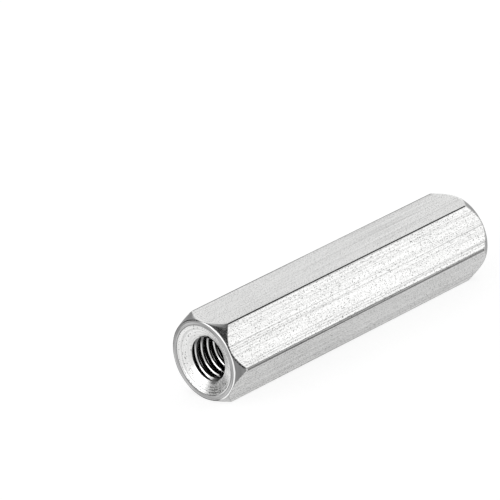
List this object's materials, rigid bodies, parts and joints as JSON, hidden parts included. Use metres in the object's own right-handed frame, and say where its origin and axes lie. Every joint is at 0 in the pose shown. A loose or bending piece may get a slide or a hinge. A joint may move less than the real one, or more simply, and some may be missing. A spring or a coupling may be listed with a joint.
{
  "type": "coupling nut",
  "caption": "Long hexagonal coupling nut with chamfered corners, dished ends and a threaded through bore for joining two studs or screws end to end.",
  "frame": {"origin": "on the bore's axis, at the middle of the nut's length", "axes": "+X along the bore's axis, +Z the outward normal of the upper flat, so the nut lies on the flat that faces -Z"},
  "size_m": [0.035, 0.0092, 0.008],
  "materials": {
    "steel": "drawn bar flats with fine long streaks, turned bright ends"
  },
  "bodies": {
    "root": {"coupling_nut": "steel"}
  },
  "joints": []
}
